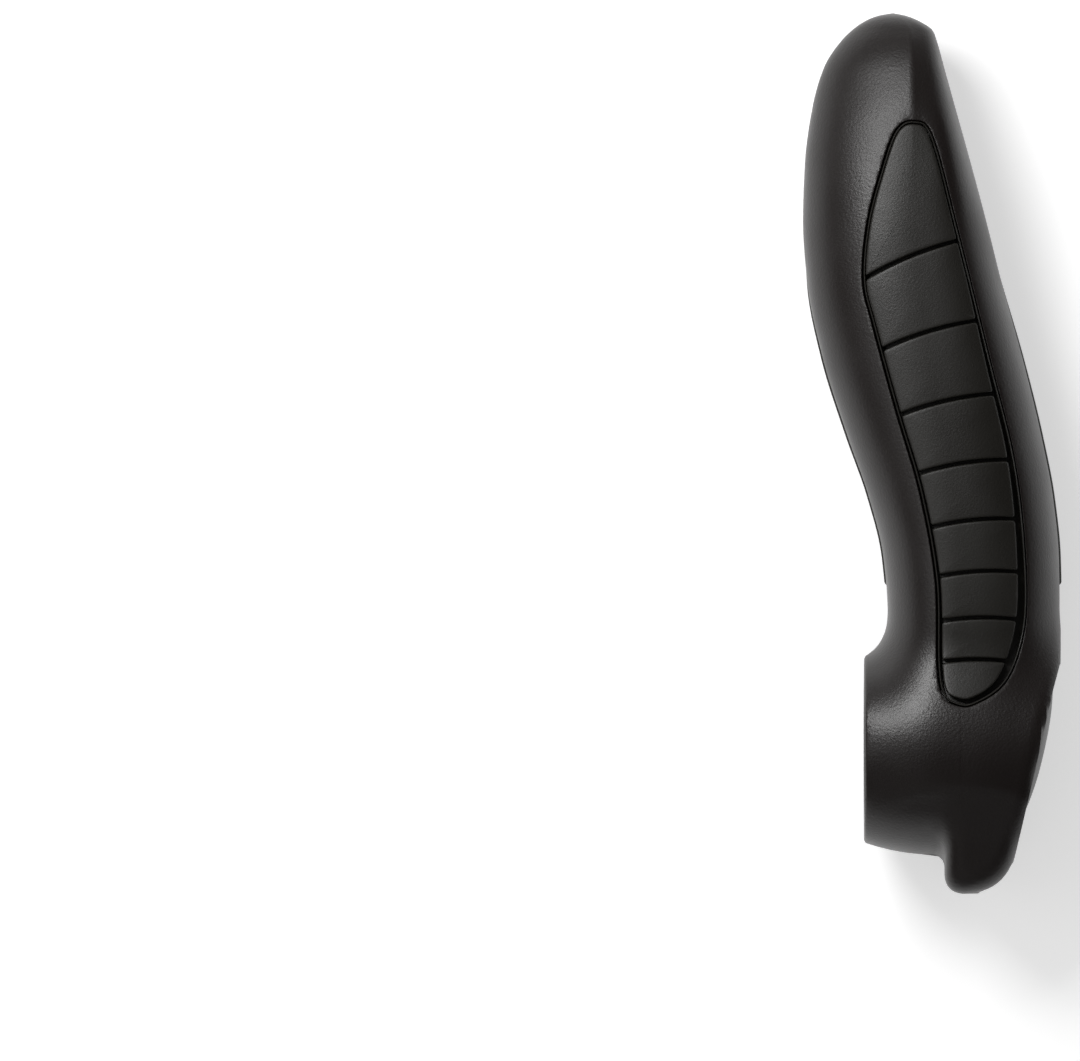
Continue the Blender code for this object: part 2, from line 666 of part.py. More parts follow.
def main():
    clear_scene()
    parts = make_collection("Bar_end")
    cutters = make_collection("Bar_end_cutters")
    nylon = make_material("Nylon_black", (0.018, 0.017, 0.017), 0.5, 0.0)
    rubber = make_material("Rubber_black", (0.022, 0.021, 0.019), 0.75, 0.0)
    cap_plastic = make_material("Cap_black", (0.012, 0.012, 0.012), 0.4, 0.0)
    black_steel = make_material("Steel_black", (0.06, 0.06, 0.06), 0.4, 1.0)
    washer_steel = make_material("Steel_washer", (0.42, 0.42, 0.42), 0.35, 1.0)
    nut_steel = make_material("Steel_nut", (0.38, 0.38, 0.37), 0.4, 1.0)

    body = make_skin("bar_end_body", parts)
    boolean(body, add_lobe(cutters), "UNION")
    cut_collar(body, cutters)
    finish(body, nylon)
    outline = smooth_outline(TOP_POCKET, 3)
    finish(add_top_inlay(parts, cutters, body, outline), rubber, False)
    finish(add_under_inlay(parts, cutters, body), rubber, False)
    finish(add_cap(parts, cutters), cap_plastic)
    finish(add_bolt(parts, cutters), black_steel)
    finish(add_washer(parts), washer_steel)
    finish(add_nut(parts, cutters), nut_steel, False)

    for item in cutters.objects:
        item.hide_render = True
        item.display_type = "WIRE"


main()
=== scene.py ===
import math

import bmesh
import bpy
import numpy as np
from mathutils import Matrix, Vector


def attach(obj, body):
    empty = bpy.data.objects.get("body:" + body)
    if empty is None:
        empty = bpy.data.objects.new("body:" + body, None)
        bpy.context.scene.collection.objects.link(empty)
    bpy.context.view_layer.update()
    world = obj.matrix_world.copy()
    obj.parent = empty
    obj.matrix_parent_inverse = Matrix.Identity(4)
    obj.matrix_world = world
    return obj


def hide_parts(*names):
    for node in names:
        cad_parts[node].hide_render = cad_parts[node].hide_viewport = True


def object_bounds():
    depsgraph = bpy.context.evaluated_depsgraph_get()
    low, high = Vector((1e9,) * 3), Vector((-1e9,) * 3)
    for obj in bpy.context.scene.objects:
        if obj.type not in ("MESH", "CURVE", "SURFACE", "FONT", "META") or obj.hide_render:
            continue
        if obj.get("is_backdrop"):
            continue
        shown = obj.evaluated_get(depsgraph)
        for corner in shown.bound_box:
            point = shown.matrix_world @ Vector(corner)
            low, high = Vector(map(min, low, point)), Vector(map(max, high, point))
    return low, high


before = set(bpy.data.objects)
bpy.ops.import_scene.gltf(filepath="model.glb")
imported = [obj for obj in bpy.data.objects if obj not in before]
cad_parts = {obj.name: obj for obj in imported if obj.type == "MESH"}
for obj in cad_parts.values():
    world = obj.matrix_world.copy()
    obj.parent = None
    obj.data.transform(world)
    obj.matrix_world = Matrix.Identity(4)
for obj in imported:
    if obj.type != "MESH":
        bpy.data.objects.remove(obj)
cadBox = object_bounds()
mm = 0.001
print("frame loaded:", len(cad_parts), "parts")

# Sizes in the dictionaries are millimetres and degrees. X runs outboard along the
# handlebar, Y forward along the horn, Z up. The bar's end stops at the origin.
horn = {
    # y, inboard x, outboard x, top z, bottom z, crest x
    "rows": (
        (-6.0, -18.0, 4.7, 13.0, -13.0, -7.1),
        (6.0, -18.2, 7.4, 13.4, -13.4, -7.1),
        (14.0, -18.3, 8.8, 13.6, -13.6, -7.1),
        (22.0, -18.4, 8.9, 13.7, -13.6, -6.9),
        (31.0, -19.2, 8.7, 13.6, -13.4, -7.0),
        (40.0, -21.4, 7.8, 13.3, -13.4, -8.0),
        (50.0, -24.9, 5.9, 12.8, -13.7, -9.8),
        (62.0, -28.7, 3.0, 12.1, -14.2, -11.9),
        (74.0, -31.2, -0.3, 11.3, -14.7, -13.5),
        (84.0, -31.9, -2.8, 10.5, -15.1, -14.3),
        (93.0, -31.6, -5.2, 9.5, -15.3, -14.5),
        (102.0, -30.4, -7.7, 8.0, -14.9, -14.6),
        (108.5, -28.5, -9.5, 6.0, -13.4, -14.6),
        (112.5, -25.9, -10.6, 3.9, -11.6, -14.7),
        (114.3, -24.1, -11.3, 2.4, -10.2, -15.0),
        (115.4, -22.6, -12.8, 1.2, -8.9, -15.6),
        (116.6, -19.9, -15.6, -1.4, -6.4, -17.0),
        (117.0, -17.6, -17.6, -4.0, -4.0, -17.6),
    ),
    # y, roundness of the inboard and the outboard half, then how sharply the outboard
    # and the inboard one meet the crest
    "crest": (
        (-6.0, 2.4, 2.4, 0.0, 0.0),
        (30.0, 2.3, 3.0, 0.0, 0.0),
        (80.0, 2.1, 3.8, 0.0, 0.0),
        (89.0, 2.0, 4.5, 0.0, 0.0),
        (98.0, 1.9, 5.5, 0.09, 0.12),
        (106.0, 1.9, 6.0, 0.36, 0.48),
        (113.5, 1.9, 6.0, 0.36, 0.48),
        (117.0, 1.9, 2.2, 0.1, 0.1),
    ),
    "section": 2.2,  # 2 is an ellipse, more is boxier
    "underside": 2.3,
    "tipY": 117.0,
    "around": 160,
    "stationStep": 0.8,
}
collar = {
    "radius": 16.5,
    "length": 22.2,
    "boreRadius": 11.2,
    "shoulderLength": 11.0,
    "shoulderDrop": 1.9,
    "edgeRound": 2.4,
    "hornFillet": 6.4,
    "endFaceX": 5.5,
    "endFaceTilt": 12.8,
    "endFaceFrontY": 9.6,
    "slitHeight": 2.0,
    "rimRound": 0.55,
    "boreRound": 0.6,
    "capSeatRadius": 10.5,
    "capSeatDepth": 1.6,
    "capSeatRound": 0.35,
    "spigotHoleRadius": 9.5,
    "mouldLineX": -7.1,
}
lobe = {
    "inboardX": -9.4,
    "rearY": -22.8,
    "topSlope": 19.3,
    "topSink": 0.5,
    "bottomZ": -7.8,
    "corner": 6.8,
    "inboardCorner": 3.2,
    "topEdge": 3.0,
    "bottomEdge": 0.9,
    "collarFillet": 2.4,
    "boltX": -4.2,
    "boltY": -16.8,
    "boltHoleRadius": 2.8,
    "washerSeatRadius": 5.5,
    "nutPocket": (8.6, 3.6, 8.2),  # across flats, lower and upper z
}
endSlope = math.tan(math.radians(collar["endFaceTilt"]))


def curveThrough(rows, column, at):
    # smooth curve through one column of a table, without overshoot
    x = np.array([row[0] for row in rows], float)
    v = np.array([row[column] for row in rows], float)
    step = np.diff(x)
    slope = np.diff(v) / step
    tangent = np.zeros(len(x))
    tangent[0] = slope[0]
    tangent[-1] = slope[-1]
    for i in range(1, len(x) - 1):
        if slope[i - 1] * slope[i] > 0:
            before = 2 * step[i] + step[i - 1]
            after = step[i] + 2 * step[i - 1]
            tangent[i] = (before + after) / (before / slope[i - 1] + after / slope[i])
    at = np.clip(at, x[0], x[-1])
    i = np.clip(np.searchsorted(x, at, side="right") - 1, 0, len(x) - 2)
    t = (at - x[i]) / step[i]
    low = (2 * t**3 - 3 * t**2 + 1) * v[i] + (t**3 - 2 * t**2 + t) * step[i] * tangent[i]
    return low + (3 * t**2 - 2 * t**3) * v[i + 1] + (t**3 - t**2) * step[i] * tangent[i + 1]


def blend(a, b, reach):
    # rounded union of two distances; a negative reach rounds their intersection
    overlap = np.maximum(abs(reach) - abs(a - b), 0.0) / abs(reach)
    if reach < 0:
        return np.maximum(a, b) - overlap**2 * reach / 4
    return np.minimum(a, b) - overlap**2 * reach / 4


def hornDistance(x, y, z):
    inboard, outboard, top, bottom, crest = (curveThrough(horn["rows"], i, y) for i in range(1, 6))
    inRound, outRound, outCrease, inCrease = (curveThrough(horn["crest"], i, y) for i in range(1, 5))
    middle = (top + bottom) / 2
    height = np.maximum((top - bottom) / 2, 0.02)
    width = np.maximum(np.where(x < crest, crest - inboard, outboard - crest), 0.02)
    across = abs(x - crest) / width
    crease = np.where(x < crest, inCrease, outCrease)
    over = crease * across + (1 - crease) * across ** np.where(x < crest, inRound, outRound)
    side = np.where(z > middle, over, across ** horn["underside"])
    reach = side + (abs(z - middle) / height) ** horn["section"]
    thickness = np.minimum(height, (outboard - inboard) / 2 + 0.02)
    return np.maximum((reach ** (1 / horn["section"]) - 1) * thickness, -3.0 - y)


def collarDistance(x, y, z):
    fall = np.clip((collar["shoulderLength"] - collar["length"] - x) / collar["shoulderLength"], 0.0, 1.2)
    barrel = np.sqrt(y**2 + z**2) - (collar["radius"] - collar["shoulderDrop"] * fall**2)
    tilt = math.cos(math.radians(collar["endFaceTilt"]))
    outboard = (x - collar["endFaceX"] - endSlope * y) * tilt - 0.3
    return np.maximum(blend(barrel, outboard, -collar["edgeRound"]), -x - collar["length"] - 0.8)


def lobeDistance(x, y, z):
    outboard = (x - collar["endFaceX"] - endSlope * y) * math.cos(math.radians(collar["endFaceTilt"]))
    side = blend(outboard + 0.05, lobe["rearY"] - y, -lobe["corner"])
    side = blend(side, lobe["inboardX"] - x, -lobe["inboardCorner"])
    fall = math.radians(lobe["topSlope"])
    top = z * math.cos(fall) - y * math.sin(fall) - collar["radius"] + lobe["topSink"]
    shape = blend(side, top, -lobe["topEdge"])
    shape = blend(shape, lobe["bottomZ"] - z, -lobe["bottomEdge"])
    return blend(shape, y + 6.0, -3.0)


def bodyDistance(x, y, z):
    # horn and collar run together, and behind y 30 the outboard flank is eased back to its line
    whole = blend(hornDistance(x, y, z), collarDistance(x, y, z), collar["hornFillet"])
    flank = x - curveThrough(horn["rows"], 2, y)
    whole = whole + np.clip((30.0 - y) / 12.0, 0.0, 1.0) * (blend(whole, flank, -1.0) - 0.12 - whole)
    return np.where(y < -4.0, blend(whole, lobeDistance(x, y, z), lobe["collarFillet"]), whole)


def skinPoint(y, angle, depth):
    # point of the body at y, this deep under its skin, on a ray at this angle; the rays
    # start close to the crest, and spread out where the horn widens into the collar
    y, angle, depth = np.broadcast_arrays(*(np.asarray(a, float) for a in (y, angle, depth)))
    crest = curveThrough(horn["rows"], 5, y)
    nearness = np.clip((24.0 - y) / 16.0, 0.0, 1.0)
    behind = np.clip((-7.0 - y) / 6.0, 0.0, 1.0)
    crest = crest + (-3.8 - crest) * behind
    spread = (0.3 + 0.45 * nearness) * (1 - behind)
    inboard = curveThrough(horn["rows"], 1, y) - 4.2 * nearness
    outboard = np.where(y < -6.0, collar["endFaceX"] + endSlope * y, curveThrough(horn["rows"], 2, y))
    middle = np.where(y > 0, (curveThrough(horn["rows"], 3, y) + curveThrough(horn["rows"], 4, y)) / 2, 0.0)
    side = np.where(np.cos(angle) < 0, crest - inboard, outboard - crest)
    startX = crest + spread * side * np.cos(angle)
    low = np.zeros(y.shape)
    high = np.full(y.shape, 45.0)
    for _ in range(36):
        half = (low + high) / 2
        inside = bodyDistance(startX + half * np.cos(angle), y, middle + half * np.sin(angle)) < -depth
        low = np.where(inside, half, low)
        high = np.where(inside, high, half)
    return np.stack((startX + low * np.cos(angle), y, middle + low * np.sin(angle)), axis=-1)


def topPoint(xy, depth):
    # point straight above or below x, y, this deep under the top of the skin
    x, y = xy[..., 0], xy[..., 1]
    low = (curveThrough(horn["rows"], 3, y) + curveThrough(horn["rows"], 4, y)) / 2
    high = np.full(x.shape, 30.0)
    for _ in range(36):
        half = (low + high) / 2
        inside = bodyDistance(x, y, half) < -depth
        low = np.where(inside, half, low)
        high = np.where(inside, high, half)
    return np.stack((x, y, low), axis=-1)


def sweptObject(name, sections, closeRows=False):
    # quads between closed rows of points, with both ends filled where the rows don't close up
    rows, columns = sections.shape[:2]
    faces = []
    for i in range(rows if closeRows else rows - 1):
        for j in range(columns):
            a, b = i * columns + j, i * columns + (j + 1) % columns
            c, d = (i + 1) % rows * columns + (j + 1) % columns, (i + 1) % rows * columns + j
            faces.append((a, b, c, d))
    if not closeRows:
        faces.append(tuple(range(columns - 1, -1, -1)))
        faces.append(tuple(range((rows - 1) * columns, rows * columns)))
    mesh = bpy.data.meshes.new(name)
    mesh.from_pydata((sections.reshape(-1, 3) * mm).tolist(), [], faces)
    work = bmesh.new()
    work.from_mesh(mesh)
    bmesh.ops.recalc_face_normals(work, faces=work.faces)
    work.to_mesh(mesh)
    work.free()
    item = bpy.data.objects.new(name, mesh)
    bpy.context.scene.collection.objects.link(item)
    return item


def prism(name, outline, low, high):
    # flat outline of x, y drawn up along Z
    flat = np.array(outline, float)
    level = np.ones((len(flat), 1))
    return sweptObject(name, np.stack([np.hstack((flat, level * height)) for height in (low, high)]))


def turned(name, rings, steps=128, closeRows=False):
    # rings of (radius, height) about Z; a radius may be a function of the angle
    angle = 2 * math.pi * np.arange(steps) / steps
    sections = []
    for radius, height in rings:
        r = radius(angle) if callable(radius) else np.full(steps, float(radius))
        sections.append(np.column_stack((r * np.cos(angle), r * np.sin(angle), np.full(steps, float(height)))))
    return sweptObject(name, np.array(sections), closeRows)


def hexRadius(acrossFlats, turn=0.0):
    # a hexagon's radius at each angle, with a flat where the angle is turn
    def radius(angle):
        return acrossFlats / 2 / np.cos((angle - turn + math.pi / 6) % (math.pi / 3) - math.pi / 6)
    return radius


def bake(item):
    # puts an item's own place and modifiers into its mesh
    bpy.context.view_layer.update()
    made = bpy.data.meshes.new_from_object(item.evaluated_get(bpy.context.evaluated_depsgraph_get()))
    item.modifiers.clear()
    item.data = made
    item.data.transform(item.matrix_world)
    item.location = (0.0, 0.0, 0.0)
    item.rotation_euler = (0.0, 0.0, 0.0)
    return item


def combine(item, others, operation):
    # Boolean with each of the others, which are used up
    for other in others:
        change = item.modifiers.new(other.name, "BOOLEAN")
        change.operation = operation
        change.solver = "MANIFOLD"
        change.object = other
    bake(item)
    for other in others:
        bpy.data.objects.remove(other, do_unlink=True)
    return item


def edgeRounder(name, corner, alongOne, alongOther, radius):
    # cutter that rounds an edge: corner points, and the two directions along its faces
    overlap, clear = 0.015, 0.3
    outOne = corner + alongOne * radius - alongOther * overlap
    outOther = corner + alongOther * radius - alongOne * overlap
    t = np.linspace(0, 1, 7)[None, :, None]
    curve = (1 - t) ** 2 * outOne[:, None] + 2 * t * (1 - t) * corner[:, None] + t**2 * outOther[:, None]
    outer = (outOther - alongOne * clear, corner - (alongOne + alongOther) * clear, outOne - alongOther * clear)
    return sweptObject(name, np.concatenate((curve, np.stack(outer, axis=1)), axis=1), True)


def unit(vectors):
    return vectors / np.linalg.norm(vectors, axis=-1, keepdims=True)


def finishSurface(item, material, angle):
    # one material, smooth shading, and sharp edges where faces meet at more than this angle
    item.data.materials.clear()
    item.data.materials.append(material)
    item.data.polygons.foreach_set("use_smooth", [True] * len(item.data.polygons))
    item.data.set_sharp_from_angle(angle=math.radians(angle))
    return item


palmPocket = {
    # pocket in the horn's top: x and y, anticlockwise from the tip
    "outline": (
        (-14.4, 99.9), (-17.4, 98.3), (-19.8, 91.7), (-21.9, 83.5), (-22.6, 74.5),
        (-21.0, 67.3), (-17.3, 53.7), (-13.6, 41.0), (-11.1, 27.0), (-10.8, 13.5),
        (-10.0, 8.9), (-8.0, 7.2), (-4.8, 7.2), (0.4, 11.0), (3.3, 19.5),
        (3.4, 31.0), (1.7, 46.0), (-2.2, 62.0), (-7.3, 82.5), (-11.3, 97.4),
    ),
    "depth": 2.2,
    "edgeRound": 0.24,
}
fingerPocket = {
    # upper edge of the pocket round the underside: y and z, rear to front
    "edge": (
        (25.8, -0.9), (38.0, -1.3), (52.0, -2.0), (66.0, -3.2), (80.0, -5.6),
        (90.0, -8.8), (96.5, -12.0), (100.5, -17.0),
    ),
    "rearY": 25.8,
    "depth": 2.2,
}


def smoothOutline(points, pieces):
    # closed rounded line through a few points
    line = []
    count = len(points)
    for i in range(count):
        before, start, end, after = (np.array(points[(i + j) % count]) for j in (-1, 0, 1, 2))
        for k in range(pieces):
            t = k / pieces
            bend = (2 * before - 5 * start + 4 * end - after) * t**2
            turn = (3 * start - before - 3 * end + after) * t**3
            line.append(0.5 * (2 * start + (end - before) * t + bend + turn))
    return np.array(line)


def alongLine(line, closed, count=None, spacing=None):
    # the same line with its points evenly spaced
    path = np.vstack((line, line[:1])) if closed else line
    run = np.concatenate(([0.0], np.cumsum(np.linalg.norm(np.diff(path, axis=0), axis=1))))
    count = count or max(8, int(round(run[-1] / spacing)))
    at = np.linspace(0.0, run[-1], count, endpoint=not closed)
    return np.column_stack([np.interp(at, run, path[:, i]) for i in range(path.shape[1])])


def inward(line):
    ahead = unit(np.roll(line, -1, axis=0) - np.roll(line, 1, axis=0))
    return np.column_stack((-ahead[:, 1], ahead[:, 0]))


def inset(line, distance):
    return line + distance * inward(line)


def rowsAcross(line, rows, columns, trim=0.002):
    # rows of points that cross a closed outline from its inboard to its outboard side
    front, rear = int(np.argmax(line[:, 1])), int(np.argmin(line[:, 1]))
    loop = np.roll(line, -front, axis=0)
    cut = (rear - front) % len(line)
    sides = (loop[: cut + 1], np.vstack((loop[cut:], loop[:1]))[::-1])
    left, right = (alongLine(side, False, 2001) for side in sides)
    at = np.round(np.linspace(trim, 1 - trim, rows) * 2000).astype(int)
    share = np.linspace(0, 1, columns)[None, :, None]
    return left[at][:, None] * (1 - share) + right[at][:, None] * share


def makeBody():
    # sections of the lobe, the collar behind the bar, the horn and its tip, rear to front
    turn = np.radians(np.arange(89.0, 0.0, -3.0))
    lobeY = lobe["rearY"] + np.array([0.02, 0.1, 0.25, 0.5, 0.8, 1.2, 1.7, 2.3, 3.0, 3.8, 4.6, 5.3, 5.9])
    alongHorn = np.arange(0.0, 99.5, horn["stationStep"])
    tip = horn["tipY"] - 17.2 * (1 - np.linspace(0, 1, 27)[:-1]) ** 2
    stations = np.concatenate((lobeY, -collar["radius"] * np.sin(turn), alongHorn, tip))
    angle = 2 * math.pi * np.arange(horn["around"]) / horn["around"]
    body = sweptObject("bar_end_shell", skinPoint(stations[:, None], angle[None, :], 0.0))

    # rim, end face, bore and cap seat
    rim = prism("rim", ((-40, -30), (-collar["length"], -30), (-collar["length"], 17), (-40, 17)), -30, 30)
    frontX = collar["endFaceX"] + endSlope * collar["endFaceFrontY"]
    rearX = collar["endFaceX"] - endSlope * 30.0
    flankY = collar["endFaceFrontY"] + 4.0
    face = ((rearX, -30), (30, -30), (30, flankY), (frontX + 1.1, flankY), (frontX, collar["endFaceFrontY"]))
    endFace = prism("end_face", face, -30, 30)
    bore = turned("bore", ((collar["boreRadius"], -30), (collar["boreRadius"], 0)))
    bore.rotation_euler = (0.0, math.pi / 2, 0.0)
    capRadius, spigotRadius = collar["capSeatRadius"], collar["spigotHoleRadius"]
    seat = turned("cap_seat", ((capRadius, -collar["capSeatDepth"]), (capRadius, 9)))
    seat.rotation_euler = (0.0, math.pi / 2, math.radians(-collar["endFaceTilt"]))
    seat.location = (mm * collar["endFaceX"], 0.0, 0.0)
    spigotHole = turned("spigot_hole", ((spigotRadius, -1), (spigotRadius, collar["endFaceX"] + 2.5)))
    spigotHole.rotation_euler = (0.0, math.pi / 2, 0.0)
    slot = ((-40, -30), (30, -30), (30, -8), (-40, -8))
    slit = prism("slit", slot, -collar["slitHeight"] / 2, collar["slitHeight"] / 2)

    # bolt hole, washer seat and the hollow that the nut is moulded into
    place = (mm * lobe["boltX"], mm * lobe["boltY"], 0.0)
    hole = turned("bolt_hole", ((lobe["boltHoleRadius"], -30), (lobe["boltHoleRadius"], 9.2)), 64)
    seatRadius = lobe["washerSeatRadius"]
    spot = turned("washer_seat", ((seatRadius, -30), (seatRadius, lobe["bottomZ"] + 0.05)), 96)
    hole.location = place
    spot.location = place
    across, bottom, top = lobe["nutPocket"]
    nutPocket = turned("nut_pocket", ((hexRadius(across), bottom), (hexRadius(across), top)), 144)
    nutPocket.location = place
    combine(body, [rim, endFace, bore, seat, spigotHole, slit, hole, spot, nutPocket], "DIFFERENCE")
    print("body cut:", len(body.data.polygons), "faces")

    # rounded rim, outside and at the bore
    angle = 2 * math.pi * np.arange(180) / 180
    ray = np.column_stack((np.zeros(180), np.cos(angle), np.sin(angle)))

    def rimPoint(x):
        low, high = np.full(180, 11.5), np.full(180, 26.0)
        for _ in range(36):
            middle = (low + high) / 2
            inside = bodyDistance(np.full(180, x), middle * ray[:, 1], middle * ray[:, 2]) < 0
            low, high = np.where(inside, middle, low), np.where(inside, high, middle)
        return np.column_stack((np.full(180, x), low * ray[:, 1], low * ray[:, 2]))

    rimEdge = rimPoint(-collar["length"])
    alongSkin = unit(rimPoint(0.4 - collar["length"]) - rimEdge)
    rounders = [edgeRounder("rim_round", rimEdge, alongSkin, -ray, collar["rimRound"])]
    boreEdge = ray * collar["boreRadius"] - np.array((collar["length"], 0.0, 0.0))
    intoBore = np.tile((1.0, 0.0, 0.0), (180, 1))
    rounders.append(edgeRounder("bore_round", boreEdge, ray, intoBore, collar["boreRound"]))
    tilt = math.radians(collar["endFaceTilt"])
    out = np.array((math.cos(tilt), -math.sin(tilt), 0.0))
    side = np.array((math.sin(tilt), math.cos(tilt), 0.0))
    spoke = np.cos(angle)[:, None] * side + np.sin(angle)[:, None] * np.array((0.0, 0.0, 1.0))
    seatEdge = np.array((collar["endFaceX"], 0.0, 0.0)) + capRadius * spoke
    intoSeat = np.tile(-out, (180, 1))
    rounders.append(edgeRounder("seat_round", seatEdge, spoke, intoSeat, collar["capSeatRound"]))

    # fine line that the mould leaves on top of the collar
    path = topPoint(np.column_stack((np.full(40, collar["mouldLineX"]), np.linspace(-8.5, 7.0, 40))), 0.0)
    groove = np.array(((-0.08, 0.0, 0.06), (0.08, 0.0, 0.06), (0.0, 0.0, -0.03)))
    rounders.append(sweptObject("mould_line", path[:, None] + groove[None]))
    combine(body, rounders, "DIFFERENCE")
    print("collar edges rounded:", len(body.data.polygons), "faces")
    return body


def cutPalmPocket(body, line):
    floor = topPoint(rowsAcross(line, 190, 24, 0.001), palmPocket["depth"])
    above = floor[:, ::-1].copy()
    above[..., 2] = 30.0
    pocket = sweptObject("palm_pocket", np.concatenate((floor, above), axis=1))
    edge = alongLine(line, True, spacing=0.45)
    corner = topPoint(edge, 0.0)
    outside = topPoint(inset(edge, -palmPocket["edgeRound"]), 0.0)
    down = np.tile((0.0, 0.0, -1.0), (len(edge), 1))
    rounder = edgeRounder("palm_pocket_round", corner, unit(outside - corner), down, palmPocket["edgeRound"])
    combine(body, [pocket, rounder], "DIFFERENCE")


def underRows(gap, y):
    # ray angles of the finger pad's two edges at each y, this far inside the pocket's edge
    level = curveThrough(fingerPocket["edge"], 1, y) - gap
    angles = []
    for start, end in ((math.pi / 2, 1.5 * math.pi), (math.pi / 2, -math.pi / 2)):
        low, high = np.full(y.shape, start), np.full(y.shape, end)
        for _ in range(26):
            middle = (low + high) / 2
            above = skinPoint(y, middle, 0.0)[..., 2] > level
            low, high = np.where(above, middle, low), np.where(above, high, middle)
        angles.append(low)
    return angles[0], angles[1] + 2 * math.pi


def underStations(gap, spacing):
    # y from the pocket's rear to where its two edges meet under the tip
    fineY = np.linspace(80.0, 100.4, 600)
    level = curveThrough(fingerPocket["edge"], 1, fineY) - gap
    frontY = fineY[np.argmax(level < curveThrough(horn["rows"], 4, fineY) + 0.02)]
    rearY = fingerPocket["rearY"] + gap
    near = frontY - 5.0 * (1 - np.linspace(0, 1, 17)[:-1]) ** 2 - 0.02
    return np.concatenate((np.arange(rearY, frontY - 5.2, spacing), near))


def cutFingerPocket(body):
    y = underStations(0.0, 0.8)
    left, right = underRows(0.0, y)
    share = np.linspace(0, 1, 90)[None, :]
    angle = left[:, None] * (1 - share) + right[:, None] * share
    inner = skinPoint(y[:, None], angle, fingerPocket["depth"])
    outer = skinPoint(y[:, None], angle, -3.0)[:, ::-1]
    pocket = sweptObject("finger_pocket", np.concatenate((inner, outer), axis=1))
    combine(body, [pocket], "DIFFERENCE")


palmPad = {
    "wallGap": 0.3,
    "lipGap": (0.15, 0.12),  # from the pocket's wall, and how much more on the inboard side
    # lip round the base: how far in and how deep
    "lip": (
        (0.0, 1.7), (0.0, 0.3), (0.03, 0.18), (0.09, 0.09), (0.16, 0.06),
        (0.23, 0.1), (0.29, 0.2), (0.31, 0.35), (0.31, 1.7),
    ),
    # raised pads' distance from the pocket's wall: in front, and how much more at the rear
    "padGap": 0.62,
    "rearGap": (0.3, 0.3, 1.1),  # inboard side, rear end, outboard side
    "groove": 0.55,
    "grooves": 8,
    "arch": 0.5,
    "inboardGrooves": (14.1, 6.4, 1.10),  # first y, distance to the next, how much that grows
    "outboardGrooves": (13.7, 6.9, 1.107),
    "inboardX": ((-9.5, 14.1), (-10.5, 27.5), (-13.8, 43.5), (-19.4, 63.0), (-22.1, 74.6)),
    "baseDepth": 1.55,
    "underDepth": 1.9,
    "cornerPasses": 3,
    # how far in and how deep: wall, rounded shoulder
    "shoulder": (
        (0.0, 1.72), (0.0, 0.34), (0.015, 0.22), (0.05, 0.12), (0.11, 0.05), (0.19, 0.01), (0.3, -0.01),
    ),
    "crown": 0.07,
}


def grooveLine(number, side):
    # one edge of a cross groove, inboard to outboard; side is -1 behind it and 1 in front
    y, step, growth = palmPad["inboardGrooves"]
    endY, endStep, endGrowth = palmPad["outboardGrooves"]
    for _ in range(number - 1):
        y, endY = y + step, endY + endStep
        step, endStep = step * growth, endStep * endGrowth
    x = float(curveThrough([(b, a) for a, b in palmPad["inboardX"]], 1, np.array(y)))
    start, end = np.array((x, y)), np.array((x + 12.4 + 0.02 * y, endY))
    along = unit(end - start)
    across = np.array((-along[1], along[0]))
    t = np.linspace(-0.35, 1.35, 120)[:, None]
    lift = palmPad["arch"] * (1 - (2 * t - 1) ** 2) + side * palmPad["groove"] / 2
    return start + (end - start) * t + across * lift


def crossings(line, loop):
    # where an open line crosses a closed one: its place along the line, and along the loop
    found = []
    loopEnd = np.roll(loop, -1, axis=0)
    for i in range(len(line) - 1):
        a, d = line[i], line[i + 1] - line[i]
        e = loopEnd - loop
        cross = d[0] * e[:, 1] - d[1] * e[:, 0]
        cross = np.where(abs(cross) < 1e-12, 1e-12, cross)
        w = loop - a
        s = (w[:, 0] * e[:, 1] - w[:, 1] * e[:, 0]) / cross
        t = (w[:, 0] * d[1] - w[:, 1] * d[0]) / cross
        for j in np.nonzero((s >= 0) & (s < 1) & (t >= 0) & (t < 1))[0]:
            found.append((i + s[j], j + t[j]))
    return found[0], found[-1]


def partOf(line, start, end, closed):
    # the points of a line from one place to another along it
    count = len(line)
    end = end + count if closed and end < start else end
    at = np.concatenate(([start], np.arange(math.ceil(start), math.floor(end) + 1), [end]))
    low = np.floor(at).astype(int)
    share = (at - low)[:, None]
    if closed:
        return line[low % count] * (1 - share) + line[(low + 1) % count] * share
    return line[np.minimum(low, count - 1)] * (1 - share) + line[np.minimum(low + 1, count - 1)] * share


